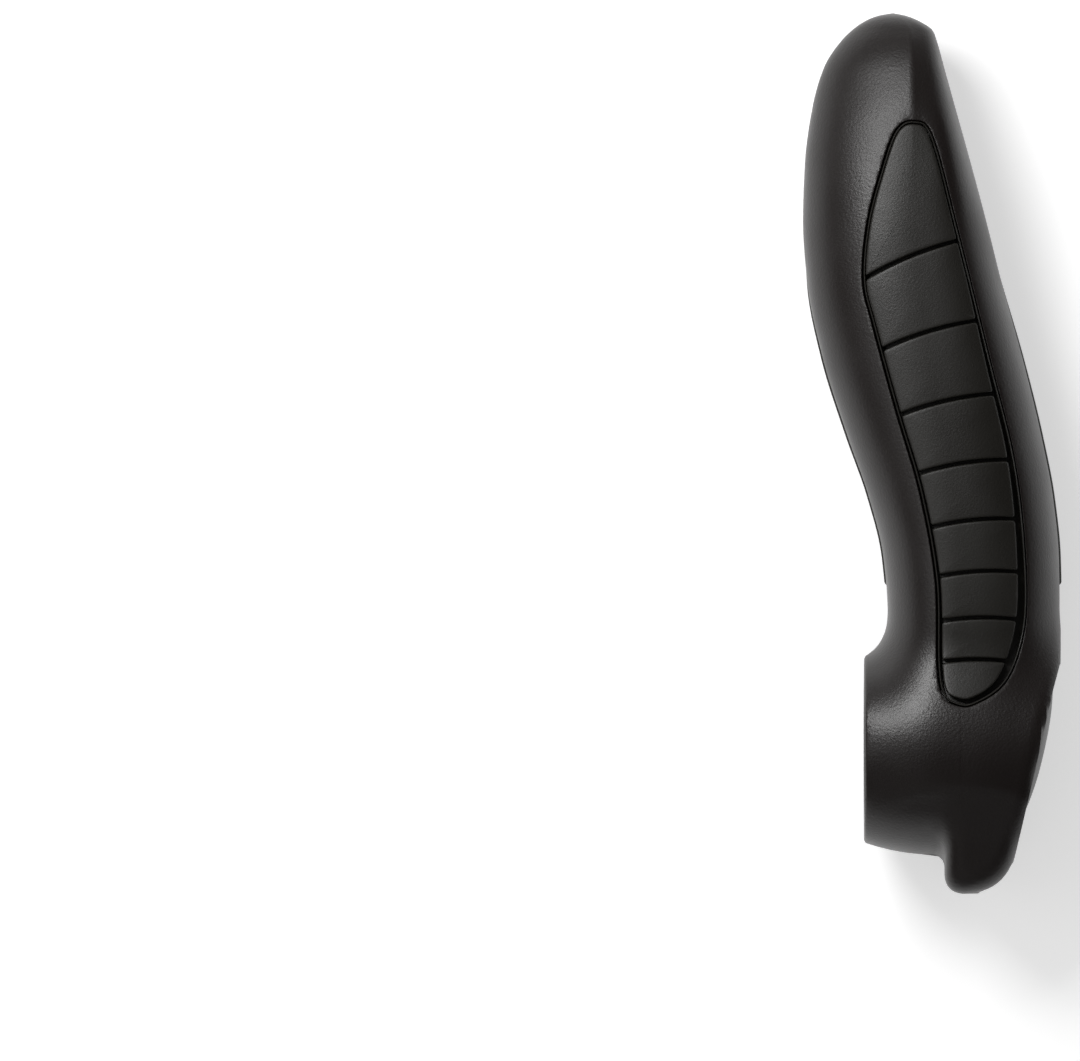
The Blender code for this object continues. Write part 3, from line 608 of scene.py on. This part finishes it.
def padLoops(line):
    facing = inward(line)
    inboardGap, endGap, outboardGap = palmPad["rearGap"]
    rearward = np.clip((75.0 - line[:, 1]) / 60.0, 0.0, 1.0)
    atEnd = (inboardGap + endGap) * facing[:, 1]
    more = np.maximum.reduce((inboardGap + 0 * rearward, outboardGap * -facing[:, 0], atEnd))
    raised = line + (palmPad["padGap"] + rearward * more)[:, None] * facing
    raised = alongLine(raised, True, spacing=0.2)
    loops = []
    for number in range(palmPad["grooves"] + 1):
        parts = []
        if number < palmPad["grooves"]:
            front = grooveLine(number + 1, -1)
            frontLeft, frontRight = crossings(front, raised)
        if number > 0:
            rear = grooveLine(number, 1)
            rearLeft, rearRight = crossings(rear, raised)
        if number == 0:
            parts.append(partOf(raised, frontLeft[1], frontRight[1], True))
        elif number == palmPad["grooves"]:
            parts.append(partOf(rear, rearLeft[0], rearRight[0], False))
            parts.append(partOf(raised, rearRight[1], rearLeft[1], True))
        else:
            parts.append(partOf(raised, frontLeft[1], rearLeft[1], True))
            parts.append(partOf(rear, rearLeft[0], rearRight[0], False))
            parts.append(partOf(raised, rearRight[1], frontRight[1], True))
        if number < palmPad["grooves"]:
            parts.append(partOf(front, frontLeft[0], frontRight[0], False)[::-1])
        loop = alongLine(np.vstack(parts), True, spacing=0.24)
        for _ in range(palmPad["cornerPasses"]):
            loop = 0.5 * loop + 0.25 * (np.roll(loop, 1, axis=0) + np.roll(loop, -1, axis=0))
        loops.append(loop)
    return loops


def makePalmPad(line):
    rows = rowsAcross(inset(line, palmPad["wallGap"]), 190, 16)
    top = topPoint(rows, palmPad["baseDepth"])
    under = topPoint(rows, palmPad["underDepth"])[:, ::-1]
    pad = sweptObject("palm_pad", np.concatenate((top, under), axis=1))
    wall, more = palmPad["lipGap"]
    edge = alongLine(line, True, spacing=0.35)
    edge = edge + (wall + more * np.clip(inward(edge)[:, :1], 0.0, 1.0)) * inward(edge)
    lip = np.array([topPoint(inset(edge, step), depth) for step, depth in palmPad["lip"]])
    raised = [sweptObject("pad_lip", lip.transpose(1, 0, 2), True)]
    for number, loop in enumerate(padLoops(line)):
        middle = loop.mean(axis=0)
        rings = [topPoint(inset(loop, step), depth) for step, depth in palmPad["shoulder"]]
        last = inset(loop, palmPad["shoulder"][-1][0])
        for size in (0.94, 0.86, 0.76, 0.64, 0.5, 0.36, 0.22, 0.1, 0.02):
            ring = middle + (last - middle) * size
            rings.append(topPoint(ring, -0.01 - palmPad["crown"] * (1 - size**2)))
        raised.append(sweptObject("raised_" + str(number), np.array(rings)))
    combine(pad, raised, "UNION")
    print("palm pad:", len(pad.data.polygons), "faces")
    return pad


fingerPad = {
    "wallGap": 0.3,
    "proud": 0.4,
    "underDepth": 1.9,
    "edgeRound": 0.7,
    "edgeDrop": 0.75,
    "pitch": 7.6,
    "grooves": 8,
    "groove": 0.9,
    "grooveDepth": 1.0,
    "grooveMargin": 4.5,
    "arch": 1.9,
    "columns": 110,
}


def makeFingerPad():
    first = fingerPocket["rearY"]
    stations = underStations(fingerPad["wallGap"], 0.8)
    extra = [first + fingerPad["wallGap"] + np.array([0.03, 0.08, 0.15, 0.25, 0.4, 0.6])]
    for number in range(fingerPad["grooves"]):
        middle = first + fingerPad["pitch"] * (number + 1)
        keep = abs(stations - middle) > 1.0
        stations = stations[keep]
        step = np.array([0.32, 0.4, 0.46, 0.52, 0.58, 0.68, 0.85])
        floorY = [middle - 0.16, middle, middle + 0.16]
        extra.append(np.concatenate((middle - step[::-1], floorY, middle + step)))
    stations = np.unique(np.concatenate([stations] + extra))
    left, right = underRows(fingerPad["wallGap"], stations)
    share = np.linspace(0, 1, fingerPad["columns"])
    share = (0.75 * share + 0.25 * (0.5 - 0.5 * np.cos(math.pi * share)))[None, :]
    angle = left[:, None] * (1 - share) + right[:, None] * share

    # the rows bow forward in the middle, as the grooves do
    last = stations[-1]
    room = np.clip((stations - stations[0]) / 6.0, 0, 1) * np.clip((last - stations) / 10.0, 0, 1)
    bow = fingerPad["arch"] * (1 - (2 * share - 1) ** 2) ** 1.3
    y = stations[:, None] + room[:, None] * bow
    skin = skinPoint(y, angle, 0.0)
    length = np.linalg.norm(np.diff(skin, axis=1), axis=2).sum(axis=1)[:, None]
    border = np.minimum(np.minimum(share, 1 - share) * length, (stations - stations[0])[:, None])
    border = np.minimum(border, (last - stations)[:, None] * 1.5)
    near = np.clip(1 - border / fingerPad["edgeRound"], 0, 1)
    depth = -fingerPad["proud"] + fingerPad["edgeDrop"] * (1 - np.sqrt(np.clip(1 - near**2, 0, 1)))

    grooveY = first + fingerPad["pitch"] * np.arange(1, fingerPad["grooves"] + 1)
    away = abs(stations[:, None] - grooveY[None, :]).min(axis=1)[:, None] - fingerPad["groove"] / 2
    lean = fingerPad["grooveMargin"] + 0.04 * (stations - first)[:, None]
    ends = np.maximum(
        curveThrough(horn["rows"], 1, y) + lean - skin[..., 0],
        skin[..., 0] - curveThrough(horn["rows"], 2, y) + lean,
    )
    inside = np.clip(0.5 - np.maximum(away, ends * 0.4) / 0.2, 0, 1)
    depth = depth + fingerPad["grooveDepth"] * inside * inside * (3 - 2 * inside)
    outer = skinPoint(y, angle, depth)
    inner = skinPoint(y, angle, fingerPad["underDepth"])[:, ::-1]
    pad = sweptObject("finger_pad", np.concatenate((outer, inner), axis=1))
    print("finger pad:", len(pad.data.polygons), "faces")
    return pad


endPlug = {
    "radius": 10.2,
    "domeRise": 0.9,
    "spigotRadius": 9.2,
}


def makeEndPlug():
    outer = endPlug["spigotRadius"]
    spigot = turned("end_plug", ((outer - 0.5, 0.0), (outer - 0.2, 0.08), (outer, 0.35), (outer, 5.4)))
    spigot.rotation_euler = (0.0, math.pi / 2, 0.0)
    bake(spigot)
    radius = endPlug["radius"]
    rings = [(0.05, endPlug["domeRise"])]
    for size in np.linspace(0.08, 0.94, 18):
        rings.append((radius * size, endPlug["domeRise"] * (1 - size**2.4)))
    rings += [(radius * 0.965, 0.04), (radius * 0.985, -0.03), (radius * 0.997, -0.14), (radius, -0.3)]
    rings += [(radius, -1.15), (radius - 0.15, -1.3), (0.05, -1.3)]
    head = turned("plug_head", rings)
    head.rotation_euler = (0.0, math.pi / 2, math.radians(-collar["endFaceTilt"]))
    head.location = (mm * collar["endFaceX"], 0.0, 0.0)
    cutX = collar["endFaceX"] - 0.8
    lean = endSlope * 20.0
    room = prism("spigot_top", ((cutX - lean, -20), (30, -20), (30, 20), (cutX + lean, 20)), -20, 20)
    combine(spigot, [room], "DIFFERENCE")
    combine(spigot, [head], "UNION")
    return spigot


clampScrew = {
    "diameter": 5.0,
    "pitch": 0.8,
    "threadDepth": 0.42,
    "threadLength": 13.5,
    "headTopZ": -9.4,
    "length": 18.0,
    "headDiameter": 8.5,
    "headHeight": 5.0,
    "knurlTeeth": 36,
    "knurlDepth": 0.12,
    "key": 4.0,
    "keyDepth": 2.5,
    "washerDiameter": 10.0,
    "washerThickness": 1.0,
    "nutAcrossFlats": 8.0,
    "nutHeight": 4.0,
    "nutBottomZ": 3.9,
}


def makeClampScrew():
    shank = clampScrew["diameter"] / 2
    head = clampScrew["headDiameter"] / 2
    seat = clampScrew["headTopZ"]
    low = seat - clampScrew["headHeight"]
    tip = seat + clampScrew["length"]

    def thread(z):
        def radius(angle):
            turn = (z / clampScrew["pitch"] - angle / (2 * math.pi)) % 1.0
            ridge = np.clip(abs(2 * turn - 1) * 1.35 - 0.12, 0, 1)
            return shank - clampScrew["threadDepth"] * ridge
        return radius

    def knurl(share):
        def radius(angle):
            wave = abs(2 * ((angle * clampScrew["knurlTeeth"] / (2 * math.pi)) % 1.0) - 1)
            return head - clampScrew["knurlDepth"] * share * wave
        return radius

    rings = [(0.05, tip), (shank - 0.9, tip), (shank - 0.75, tip - 0.08)]
    threadBottom = tip - clampScrew["threadLength"]
    count = int(clampScrew["threadLength"] / clampScrew["pitch"] * 9)
    rings += [(thread(z), z) for z in np.linspace(tip - 0.35, threadBottom, count)]
    rings += [(shank - 0.1, threadBottom - 0.3), (shank, threadBottom - 0.5), (shank, seat + 0.35)]
    rings += [(shank + 0.1, seat + 0.1), (shank + 0.3, seat), (head - 0.25, seat), (head - 0.08, seat - 0.06)]
    rings += [(knurl(0.0), seat - 0.3), (knurl(1.0), seat - 0.5)]
    rings += [(knurl(1.0), low + 0.75), (knurl(0.0), low + 0.55), (head - 0.05, low + 0.35)]
    rings += [(head - 0.2, low + 0.12), (head - 0.45, low), (2.75, low), (2.6, low + 0.03)]
    key = hexRadius(clampScrew["key"], math.pi / 6)
    deep = low + clampScrew["keyDepth"]
    rings += [(lambda a: np.minimum(key(a) + 0.12, 2.55), low + 0.12), (key, low + 0.35), (key, deep)]
    rings += [(1.9, deep + 0.02), (0.9, deep + 0.5), (0.05, deep + 0.75)]
    screw = turned("clamp_screw", rings, 144)
    screw.location = (mm * lobe["boltX"], mm * lobe["boltY"], 0.0)
    return bake(screw)


def makeWasher():
    top = lobe["bottomZ"] - 0.3
    low = top - clampScrew["washerThickness"]
    outer = clampScrew["washerDiameter"] / 2
    inner = lobe["boltHoleRadius"]
    rings = ((inner, top - 0.15), (inner + 0.05, top - 0.04), (inner + 0.15, top), (outer - 0.2, top))
    rings += ((outer - 0.06, top - 0.05), (outer, top - 0.2), (outer, low + 0.12), (outer - 0.03, low + 0.03))
    rings += ((outer - 0.12, low), (inner + 0.12, low), (inner + 0.03, low + 0.03), (inner, low + 0.12))
    washer = turned("screw_washer", rings, 128, True)
    washer.location = (mm * lobe["boltX"], mm * lobe["boltY"], 0.0)
    return bake(washer)


def makeNut():
    low = clampScrew["nutBottomZ"]
    high = low + clampScrew["nutHeight"]
    flat = clampScrew["nutAcrossFlats"] / 2
    hexagon = hexRadius(clampScrew["nutAcrossFlats"])
    rings = [(2.95, low + 0.02), (flat - 0.15, low), (flat, low + 0.03)]
    for up in (0.15, 0.3, 0.45, 0.62):
        rings.append((lambda a, up=up: np.minimum(hexagon(a), flat + 1.6 * up), low + up))
    for down in (0.62, 0.45, 0.3, 0.15):
        rings.append((lambda a, down=down: np.minimum(hexagon(a), flat + 1.6 * down), high - down))
    rings += [(flat, high - 0.03), (flat - 0.15, high), (2.95, high - 0.02)]
    rings += [(2.8, high - 0.2), (2.8, low + 0.2)]
    nut = turned("captive_nut", rings, 144, True)
    nut.location = (mm * lobe["boltX"], mm * lobe["boltY"], 0.0)
    return bake(nut)


finishes = {
    "nylon": {
        "dark": (0.007, 0.0045, 0.0039),
        "light": (0.0102, 0.0072, 0.0064),
        "roughness": (0.35, 0.45),
        "grain": 4000.0,
        "grainHeight": 0.022,
        "scuff": (0.05, 0.048, 0.046),
        "edgeWear": 0.5,
    },
    "rubber": {
        "dark": (0.008, 0.0069, 0.005),
        "light": (0.0118, 0.0105, 0.0079),
        "roughness": (0.42, 0.54),
        "grain": 5200.0,
        "grainHeight": 0.016,
        "scuff": (0.045, 0.044, 0.04),
        "edgeWear": 0.5,
    },
    "plug": {
        "dark": (0.0062, 0.0048, 0.0044),
        "light": (0.009, 0.0074, 0.0068),
        "roughness": (0.34, 0.44),
        "grain": 4200.0,
        "grainHeight": 0.01,
        "scuff": (0.04, 0.04, 0.04),
        "edgeWear": 0.3,
    },
    "blackened": {
        "dark": (0.03, 0.03, 0.032),
        "light": (0.065, 0.064, 0.062),
        "roughness": (0.32, 0.48),
    },
    "zincPlated": {
        "dark": (0.4, 0.4, 0.39),
        "light": (0.55, 0.55, 0.54),
        "roughness": (0.24, 0.4),
    },
}


def addNode(material, kind, place, inputs=None, **settings):
    node = material.node_tree.nodes.new(kind)
    node.location = place
    for name, value in settings.items():
        setattr(node, name, value)
    for name, value in (inputs or {}).items():
        node.inputs[name].default_value = value
    return node


def mouldedMaterial(name, finish):
    # moulded plastic or rubber: fine eroded grain, cloudy colour and gloss, paler worn edges
    material = bpy.data.materials.new(name)
    material.use_nodes = True
    link = material.node_tree.links.new
    shader = material.node_tree.nodes["Principled BSDF"]
    place = addNode(material, "ShaderNodeTexCoord", (-1300, 0))
    cloud = addNode(material, "ShaderNodeTexNoise", (-1000, 300), {"Scale": 60.0, "Detail": 3.0})
    speck = addNode(material, "ShaderNodeTexNoise", (-1000, 0), {"Scale": finish["grain"], "Detail": 2.0})
    pitScale = {"Scale": finish["grain"] * 0.6}
    pits = addNode(material, "ShaderNodeTexVoronoi", (-1000, -300), pitScale, feature="SMOOTH_F1")
    for texture in (cloud, speck, pits):
        link(place.outputs["Object"], texture.inputs["Vector"])
    colour = addNode(material, "ShaderNodeMix", (-600, 300), data_type="RGBA")
    colour.inputs["A"].default_value = (*finish["dark"], 1.0)
    colour.inputs["B"].default_value = (*finish["light"], 1.0)
    link(cloud.outputs["Fac"], colour.inputs["Factor"])

    # edges that hands and gloves rub
    shape = addNode(material, "ShaderNodeNewGeometry", (-1000, 600))
    wear = {"From Min": 0.53, "From Max": 0.62, "To Min": 0.0, "To Max": finish["edgeWear"]}
    edge = addNode(material, "ShaderNodeMapRange", (-800, 600), wear)
    link(shape.outputs["Pointiness"], edge.inputs["Value"])
    rub = addNode(material, "ShaderNodeMath", (-600, 600), operation="MULTIPLY")
    link(edge.outputs["Result"], rub.inputs[0])
    link(speck.outputs["Fac"], rub.inputs[1])
    worn = addNode(material, "ShaderNodeMix", (-350, 400), data_type="RGBA")
    worn.inputs["B"].default_value = (*finish["scuff"], 1.0)
    link(rub.outputs["Value"], worn.inputs["Factor"])
    link(colour.outputs["Result"], worn.inputs["A"])
    link(worn.outputs["Result"], shader.inputs["Base Color"])

    low, high = finish["roughness"]
    sheen = {"From Min": 0.3, "From Max": 0.7, "To Min": low, "To Max": high}
    gloss = addNode(material, "ShaderNodeMapRange", (-600, 0), sheen)
    link(cloud.outputs["Fac"], gloss.inputs["Value"])
    link(gloss.outputs["Result"], shader.inputs["Roughness"])
    height = addNode(material, "ShaderNodeMath", (-600, -250), operation="ADD")
    link(speck.outputs["Fac"], height.inputs[0])
    link(pits.outputs["Distance"], height.inputs[1])
    relief = {"Strength": 1.0, "Distance": finish["grainHeight"] * mm}
    bump = addNode(material, "ShaderNodeBump", (-350, -250), relief)
    link(height.outputs["Value"], bump.inputs["Height"])
    link(bump.outputs["Normal"], shader.inputs["Normal"])
    return material


def steelMaterial(name, finish):
    # plated or blackened steel with fine turning marks and a mottled finish
    material = bpy.data.materials.new(name)
    material.use_nodes = True
    link = material.node_tree.links.new
    shader = material.node_tree.nodes["Principled BSDF"]
    shader.inputs["Metallic"].default_value = 1.0
    place = addNode(material, "ShaderNodeTexCoord", (-1200, 0))
    mottle = addNode(material, "ShaderNodeTexNoise", (-900, 200), {"Scale": 900.0, "Detail": 4.0})
    stretch = addNode(material, "ShaderNodeMapping", (-1050, -200), {"Scale": (1.0, 1.0, 9.0)})
    marks = addNode(material, "ShaderNodeTexNoise", (-850, -200), {"Scale": 1600.0, "Detail": 2.0})
    link(place.outputs["Object"], mottle.inputs["Vector"])
    link(place.outputs["Object"], stretch.inputs["Vector"])
    link(stretch.outputs["Vector"], marks.inputs["Vector"])
    colour = addNode(material, "ShaderNodeMix", (-500, 200), data_type="RGBA")
    colour.inputs["A"].default_value = (*finish["dark"], 1.0)
    colour.inputs["B"].default_value = (*finish["light"], 1.0)
    link(mottle.outputs["Fac"], colour.inputs["Factor"])
    link(colour.outputs["Result"], shader.inputs["Base Color"])
    low, high = finish["roughness"]
    sheen = {"From Min": 0.3, "From Max": 0.7, "To Min": low, "To Max": high}
    gloss = addNode(material, "ShaderNodeMapRange", (-500, -50), sheen)
    link(marks.outputs["Fac"], gloss.inputs["Value"])
    link(gloss.outputs["Result"], shader.inputs["Roughness"])
    bump = addNode(material, "ShaderNodeBump", (-300, -250), {"Strength": 0.6, "Distance": 0.008 * mm})
    link(marks.outputs["Fac"], bump.inputs["Height"])
    link(bump.outputs["Normal"], shader.inputs["Normal"])
    return material


nylonBlack = mouldedMaterial("grained_black_nylon", finishes["nylon"])
rubberBlack = mouldedMaterial("matt_black_rubber", finishes["rubber"])
plugBlack = mouldedMaterial("satin_black_plug", finishes["plug"])
steelBlack = steelMaterial("black_oxide_steel", finishes["blackened"])
steelZinc = steelMaterial("zinc_plated_steel", finishes["zincPlated"])
print("materials ready")


pocketLine = smoothOutline(palmPocket["outline"], 12)
body = makeBody()
cutPalmPocket(body, pocketLine)
cutFingerPocket(body)
print("body finished:", len(body.data.polygons), "faces")
pieces = (
    (body, "bar_end_body", "nylon_black", nylonBlack, 32.0),
    (makePalmPad(pocketLine), "top_grip_inlay", "rubber_black", rubberBlack, 40.0),
    (makeFingerPad(), "under_grip_inlay", "rubber_black", rubberBlack, 50.0),
    (makeEndPlug(), "end_cap", "cap_black", plugBlack, 32.0),
    (makeClampScrew(), "clamp_bolt", "steel_black", steelBlack, 30.0),
    (makeWasher(), "clamp_washer", "steel_bright", steelZinc, 30.0),
    (makeNut(), "clamp_nut", "steel_bright", steelZinc, 30.0),
)
for piece, node, slotName, material, angle in pieces:
    finishSurface(piece, material, angle)
    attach(piece, "root")
    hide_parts(node)
    print(piece.name, "stands for", node)


studio = {
    # the picture is 1080 pixels wide at 6.3 pixels to the millimetre
    "pictureWidth": 1080 / 6.3,
    "centre": (-73.65, 34.84),
    "cameraHeight": 8000.0,
    "floorZ": -17.2,
    "floorReach": 6000.0,
    "floorColour": 0.82,
    "floorGlow": 0.5,
    "skyLight": 0.3,
    "ceiling": 0.03,
}
camera = bpy.data.objects.new("camera", bpy.data.cameras.new("camera"))
bpy.context.scene.collection.objects.link(camera)
bpy.context.scene.camera = camera
camera.data.sensor_width = 36.0
camera.data.lens = 36.0 * studio["cameraHeight"] / studio["pictureWidth"]
camera.data.clip_start = 0.1
camera.data.clip_end = 20.0
camera.location = (studio["centre"][0] * mm, studio["centre"][1] * mm, studio["cameraHeight"] * mm)

lamps = {
    # place in millimetres, width and height, power in watts
    "key": ((-200.0, 260.0, 338.0), (170.0, 170.0), 1.3),
    "side": ((-330.0, 20.0, 400.0), (250.0, 250.0), 0.12),
    "fill": ((-150.0, -500.0, 500.0), (500.0, 400.0), 0.15),
}
aim = (-10.0, 45.0, 0.0)
for name, (spot, size, power) in lamps.items():
    lamp = bpy.data.lights.new(name, "AREA")
    lamp.shape = "RECTANGLE"
    lamp.size = size[0] * mm
    lamp.size_y = size[1] * mm
    lamp.energy = power
    holder = bpy.data.objects.new(name, lamp)
    bpy.context.scene.collection.objects.link(holder)
    holder.location = [mm * v for v in spot]
    direction = np.array(aim) - np.array(spot)
    away = math.atan2(math.hypot(direction[0], direction[1]), -direction[2])
    holder.rotation_euler = (away, 0.0, math.atan2(direction[1], direction[0]) - math.pi / 2)


def addMath(tree, operation, one, other):
    node = tree.nodes.new("ShaderNodeMath")
    node.operation = operation
    for number, value in enumerate((one, other)):
        if isinstance(value, float):
            node.inputs[number].default_value = value
        else:
            tree.links.new(value, node.inputs[number])
    return node.outputs["Value"]


# the room is white to the eye, and in gloss it is white at the horizon under a dark ceiling
world = bpy.data.worlds.new("studio")
bpy.context.scene.world = world
world.use_nodes = True
room = world.node_tree
sky = room.nodes["Background"]
sky.inputs["Color"].default_value = (1.0, 1.0, 1.0, 1.0)
ray = room.nodes.new("ShaderNodeLightPath")
heading = room.nodes.new("ShaderNodeTexCoord")
split = room.nodes.new("ShaderNodeSeparateXYZ")
room.links.new(heading.outputs["Generated"], split.inputs["Vector"])
upward = room.nodes.new("ShaderNodeMapRange")
upward.interpolation_type = "SMOOTHSTEP"
upward.inputs["From Min"].default_value = -0.05
upward.inputs["From Max"].default_value = 0.25
upward.inputs["To Min"].default_value = 1.0
upward.inputs["To Max"].default_value = studio["ceiling"]
room.links.new(split.outputs["Z"], upward.inputs["Value"])
seen = addMath(room, "MAXIMUM", ray.outputs["Is Camera Ray"], ray.outputs["Is Transmission Ray"])
inGloss = addMath(room, "MULTIPLY", ray.outputs["Is Glossy Ray"], upward.outputs["Result"])
asLight = addMath(room, "SUBTRACT", 1.0, ray.outputs["Is Glossy Ray"])
asLight = addMath(room, "MULTIPLY", asLight, studio["skyLight"])
unseen = addMath(room, "ADD", inGloss, asLight)
room.links.new(addMath(room, "MAXIMUM", seen, unseen), sky.inputs["Strength"])

floorMaterial = bpy.data.materials.new("pale_floor")
floorMaterial.use_nodes = True
floorTree = floorMaterial.node_tree
matt = floorTree.nodes["Principled BSDF"]
matt.inputs["Base Color"].default_value = (studio["floorColour"],) * 3 + (1.0,)
matt.inputs["Roughness"].default_value = 0.9
matt.inputs["Specular IOR Level"].default_value = 0.1
glow = floorTree.nodes.new("ShaderNodeEmission")
lit = floorTree.nodes.new("ShaderNodeAddShader")
ray = floorTree.nodes.new("ShaderNodeLightPath")
seen = addMath(floorTree, "MAXIMUM", ray.outputs["Is Camera Ray"], ray.outputs["Is Transmission Ray"])
seen = addMath(floorTree, "MAXIMUM", seen, ray.outputs["Is Glossy Ray"])
floorTree.links.new(addMath(floorTree, "MULTIPLY", seen, studio["floorGlow"]), glow.inputs["Strength"])
floorTree.links.new(matt.outputs["BSDF"], lit.inputs[0])
floorTree.links.new(glow.outputs["Emission"], lit.inputs[1])
# the floor is clear when seen from below, so that the underside shows
facing = floorTree.nodes.new("ShaderNodeNewGeometry")
clear = floorTree.nodes.new("ShaderNodeBsdfTransparent")
oneWay = floorTree.nodes.new("ShaderNodeMixShader")
floorTree.links.new(facing.outputs["Backfacing"], oneWay.inputs["Fac"])
floorTree.links.new(lit.outputs["Shader"], oneWay.inputs[1])
floorTree.links.new(clear.outputs["BSDF"], oneWay.inputs[2])
floorTree.links.new(oneWay.outputs["Shader"], floorTree.nodes["Material Output"].inputs["Surface"])

reach = studio["floorReach"] * mm
level = studio["floorZ"] * mm
floorMesh = bpy.data.meshes.new("floor")
corners = [(x * reach, y * reach, level) for x, y in ((-1, -1), (1, -1), (1, 1), (-1, 1))]
floorMesh.from_pydata(corners, [], [(0, 1, 2, 3)])
floorMesh.materials.append(floorMaterial)
floor = bpy.data.objects.new("floor", floorMesh)
bpy.context.scene.collection.objects.link(floor)
floor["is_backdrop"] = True
bpy.context.scene.view_settings.view_transform = "Standard"
print("camera, lamps and floor ready")

low, high = cadBox
newLow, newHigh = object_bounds()
for label, least, most in (("frame", low, high), ("model", newLow, newHigh)):
    print(label, "size in mm:", [round((b - a) / mm, 2) for a, b in zip(least, most)])
